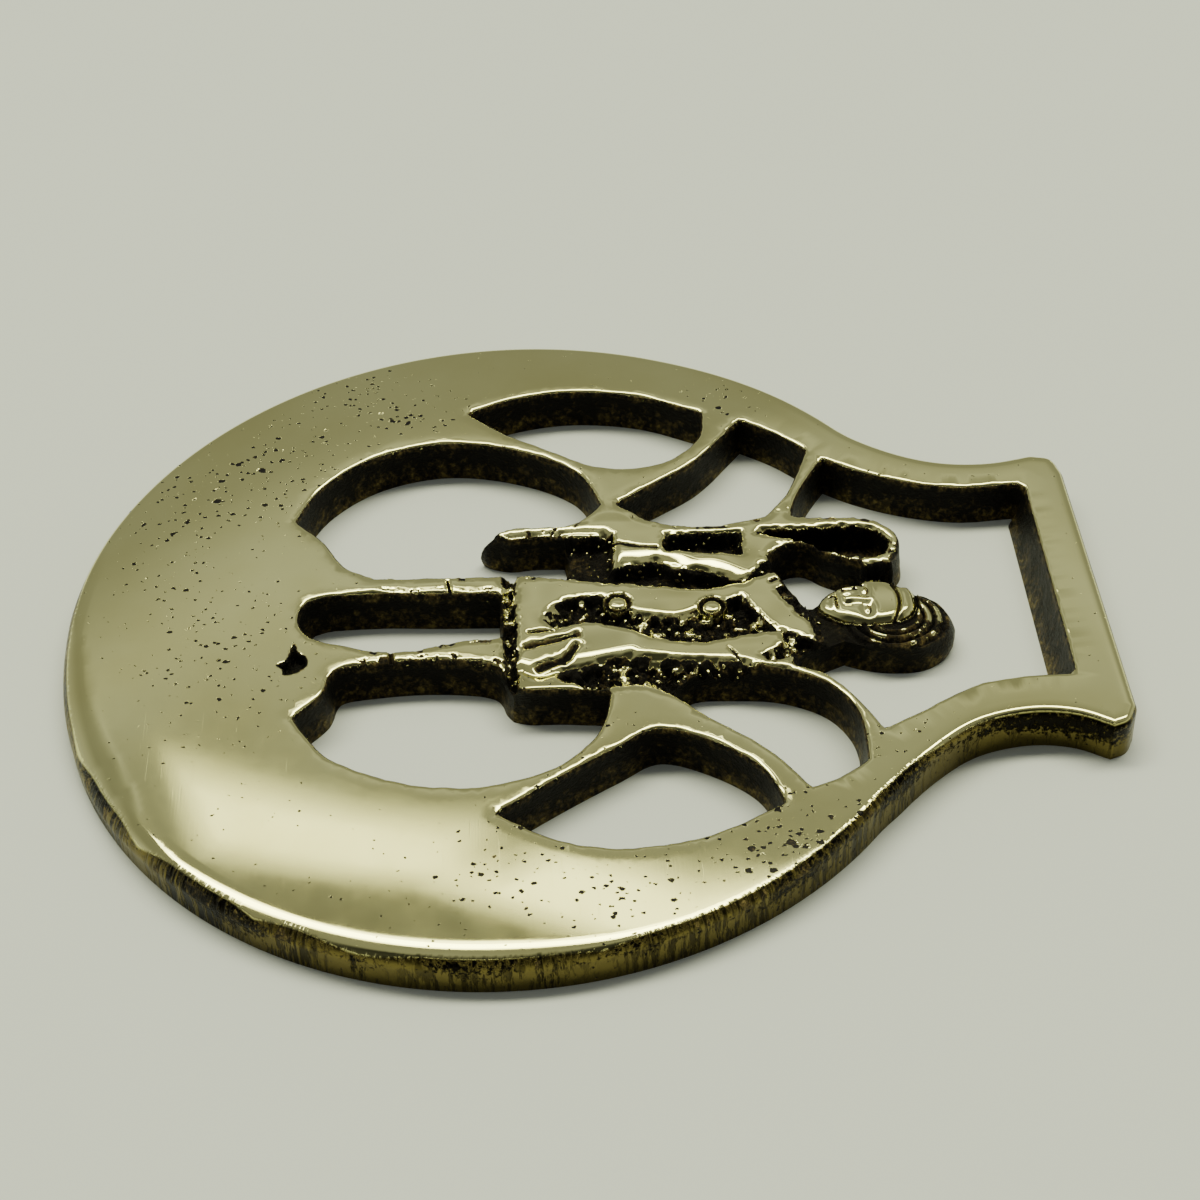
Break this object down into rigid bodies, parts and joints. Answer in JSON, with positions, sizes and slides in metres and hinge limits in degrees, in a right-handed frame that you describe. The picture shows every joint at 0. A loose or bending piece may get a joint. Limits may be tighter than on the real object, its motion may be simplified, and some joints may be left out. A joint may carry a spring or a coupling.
{
  "type": "horse brass",
  "caption": "Cast openwork harness ornament: a wide crescent with a strap hanger and, inside it, a figure in a buttoned coat holding a looped whip.",
  "frame": {"origin": "middle of the outline's bounding box, on the flat back that the brass lies on", "axes": "+Z out of the front, +Y towards the strap hanger, +X to the viewer's right"},
  "size_m": [0.076, 0.0888, 0.004],
  "materials": {
    "brass": "polished front with casting pits and darkened recesses, filed rim"
  },
  "bodies": {
    "root": {"horse_brass": "brass"}
  },
  "joints": []
}
